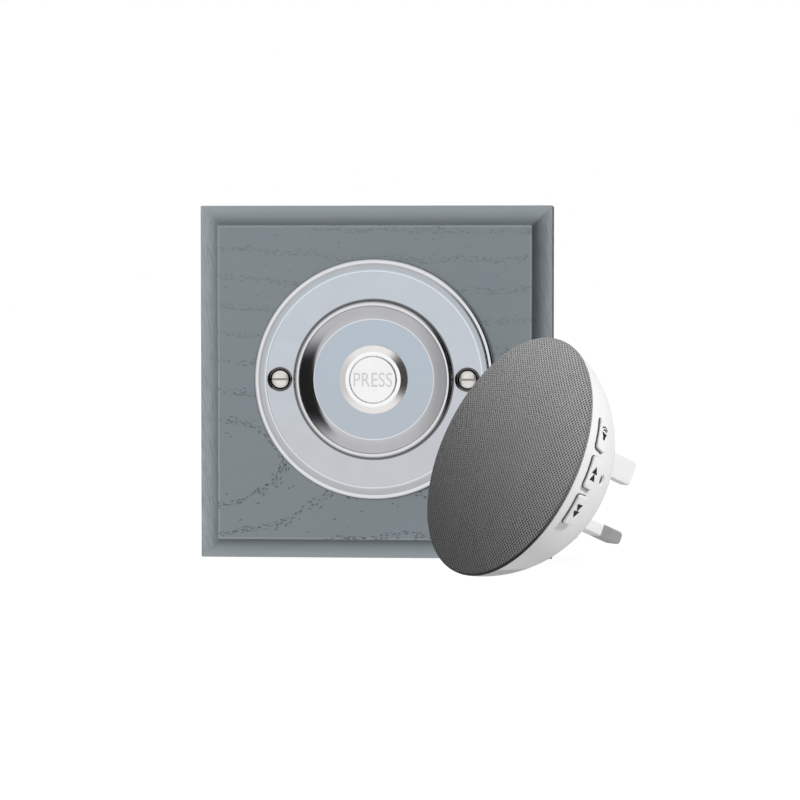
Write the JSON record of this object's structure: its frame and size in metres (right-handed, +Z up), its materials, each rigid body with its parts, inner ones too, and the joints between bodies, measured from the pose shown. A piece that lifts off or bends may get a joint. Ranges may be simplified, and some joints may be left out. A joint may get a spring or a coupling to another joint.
{
  "type": "wireless doorbell",
  "caption": "Bell push with a sprung chrome button on a square moulded wooden plinth, with a ball-backed plug-in chime that has a cloth front, side keys and mains pins.",
  "frame": {"origin": "middle of the plinth's foot, on the surface that the set stands on", "axes": "+X to the right as the push is faced, +Y into the wall behind the plinth, +Z up"},
  "size_m": [0.1384, 0.0993, 0.112],
  "materials": {
    "painted_ash": "satin paint over open grain",
    "polished_chrome": "polished",
    "satin_steel": "brushed",
    "screw_nickel": "polished",
    "gasket_rubber": "matte",
    "contact_brass": "bright",
    "spring_steel": "drawn wire",
    "black_plastic": "moulded",
    "lead_insulation": "extruded",
    "board_green": "solder resist",
    "cell_steel": "pressed",
    "cover_grey": "moulded",
    "chime_white": "fine satin",
    "key_white": "satin",
    "grille_grey": "fine woven mesh",
    "grille_plastic": "moulded",
    "speaker_steel": "black",
    "speaker_paper": "pressed",
    "magnet_ferrite": "sintered",
    "light_lens": "clear moulded",
    "pin_metal": "plated",
    "can_aluminium": "drawn",
    "winding_copper": "lacquered"
  },
  "bodies": {
    "bell_set": {"plinth": "painted_ash", "push_plate": "polished_chrome", "flange_screws": "screw_nickel", "switch_barrel": "satin_steel", "barrel_gasket": "gasket_rubber", "barrel_nut": "satin_steel", "button_spring": "spring_steel", "contact_block": "black_plastic", "switch_terminals": "contact_brass", "switch_lead_left": "lead_insulation", "switch_lead_right": "lead_insulation", "transmitter_board": "board_green", "board_screws": "screw_nickel", "board_chips": "black_plastic", "cell_holder": "black_plastic", "coin_cell": "cell_steel", "cell_clip": "spring_steel", "back_cover": "cover_grey", "cover_screws": "screw_nickel", "chime_shell": "chime_white", "grille_cloth": "grille_grey", "grille_frame": "grille_plastic", "speaker_frame": "speaker_steel", "speaker_cone": "speaker_paper", "speaker_magnet": "magnet_ferrite", "key_switches": "black_plastic", "key_strip": "board_green", "key_ribbon": "lead_insulation", "status_light": "light_lens", "plug_base": "chime_white", "live_pin": "pin_metal", "neutral_pin": "pin_metal", "pin_sleeves": "chime_white", "earth_pin": "chime_white", "chime_board": "board_green", "chime_board_screws": "screw_nickel", "mains_transformer": "winding_copper", "smoothing_capacitor": "can_aluminium", "chime_chips": "black_plastic", "speaker_leads": "lead_insulation"},
    "bell_button": {"press_button": "satin_steel", "contact_plate": "contact_brass"},
    "volume_key": {"volume_button": "key_white"},
    "next_key": {"next_button": "key_white"},
    "previous_key": {"previous_button": "key_white"}
  },
  "joints": [
    {"name": "button_press", "type": "slide", "parent": "bell_set", "child": "bell_button", "axis": [0, 1, 0], "range_m": [0, 0.0015], "stiffness_N_per_m": 1500, "deforming": ["button_spring"]},
    {"name": "volume_press", "type": "slide", "parent": "bell_set", "child": "volume_key", "axis": [-0.9003, 0.4263, -0.0875], "range_m": [0, 0.0006], "stiffness_N_per_m": 2500},
    {"name": "next_press", "type": "slide", "parent": "bell_set", "child": "next_key", "axis": [-0.8306, 0.5259, 0.1831], "range_m": [0, 0.0006], "stiffness_N_per_m": 2500},
    {"name": "previous_press", "type": "slide", "parent": "bell_set", "child": "previous_key", "axis": [-0.7054, 0.5468, 0.4511], "range_m": [0, 0.0006], "stiffness_N_per_m": 2500}
  ]
}
